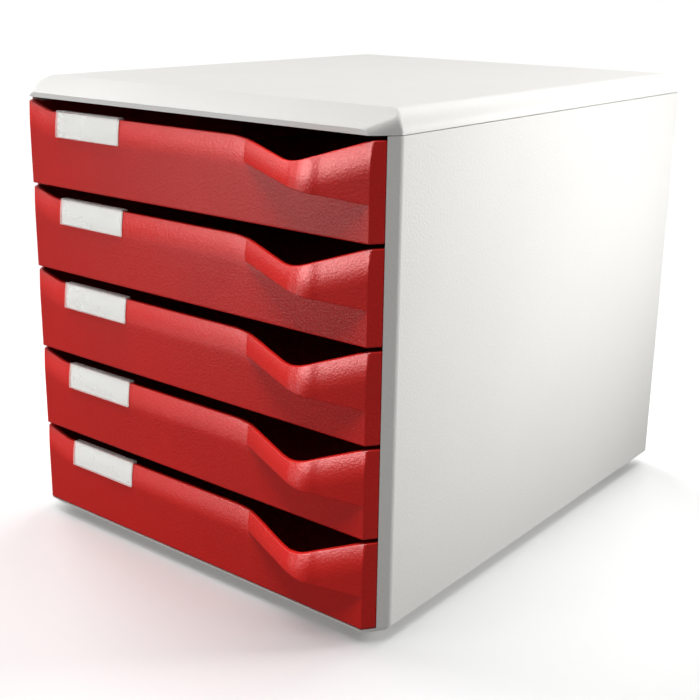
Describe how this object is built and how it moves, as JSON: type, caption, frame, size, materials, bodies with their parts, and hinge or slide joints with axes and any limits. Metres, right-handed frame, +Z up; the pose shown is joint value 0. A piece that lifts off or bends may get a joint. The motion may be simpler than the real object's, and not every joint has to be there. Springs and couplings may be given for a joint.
{
  "type": "desk drawer unit",
  "caption": "Desktop storage unit: a light grey plastic casing with a stack of red sliding paper drawers, each with a projecting finger pull and a clip-on label.",
  "frame": {"origin": "on the desk, under the middle of the unit's outline, at the feet's underside", "axes": "+X to the right seen from the front, +Y from the drawer fronts to the back, +Z up"},
  "size_m": [0.285, 0.355, 0.29],
  "materials": {
    "casing": "fine pebbled grain, satin",
    "drawer": "fine leather grain, satin gloss",
    "label_clip": "clear, polished",
    "label_card": "white card, uncoated",
    "foot_rubber": "matte"
  },
  "bodies": {
    "casing": {"top_cover": "casing", "left_side_wall": "casing", "right_side_wall": "casing", "back_wall": "casing", "base_plate": "casing", "rubber_feet": "foot_rubber"},
    "drawer_1": {"drawer_1": "drawer", "label_holder_1": "label_clip", "label_card_1": "label_card"},
    "drawer_2": {"drawer_2": "drawer", "label_holder_2": "label_clip", "label_card_2": "label_card"},
    "drawer_3": {"drawer_3": "drawer", "label_holder_3": "label_clip", "label_card_3": "label_card"},
    "drawer_4": {"drawer_4": "drawer", "label_holder_4": "label_clip", "label_card_4": "label_card"},
    "drawer_5": {"drawer_5": "drawer", "label_holder_5": "label_clip", "label_card_5": "label_card"}
  },
  "joints": [
    {"name": "drawer_1_slide", "type": "slide", "parent": "casing", "child": "drawer_1", "axis": [0, -1, 0], "range_m": [0, 0.25]},
    {"name": "drawer_2_slide", "type": "slide", "parent": "casing", "child": "drawer_2", "axis": [0, -1, 0], "range_m": [0, 0.25]},
    {"name": "drawer_3_slide", "type": "slide", "parent": "casing", "child": "drawer_3", "axis": [0, -1, 0], "range_m": [0, 0.25]},
    {"name": "drawer_4_slide", "type": "slide", "parent": "casing", "child": "drawer_4", "axis": [0, -1, 0], "range_m": [0, 0.25]},
    {"name": "drawer_5_slide", "type": "slide", "parent": "casing", "child": "drawer_5", "axis": [0, -1, 0], "range_m": [0, 0.25]}
  ]
}
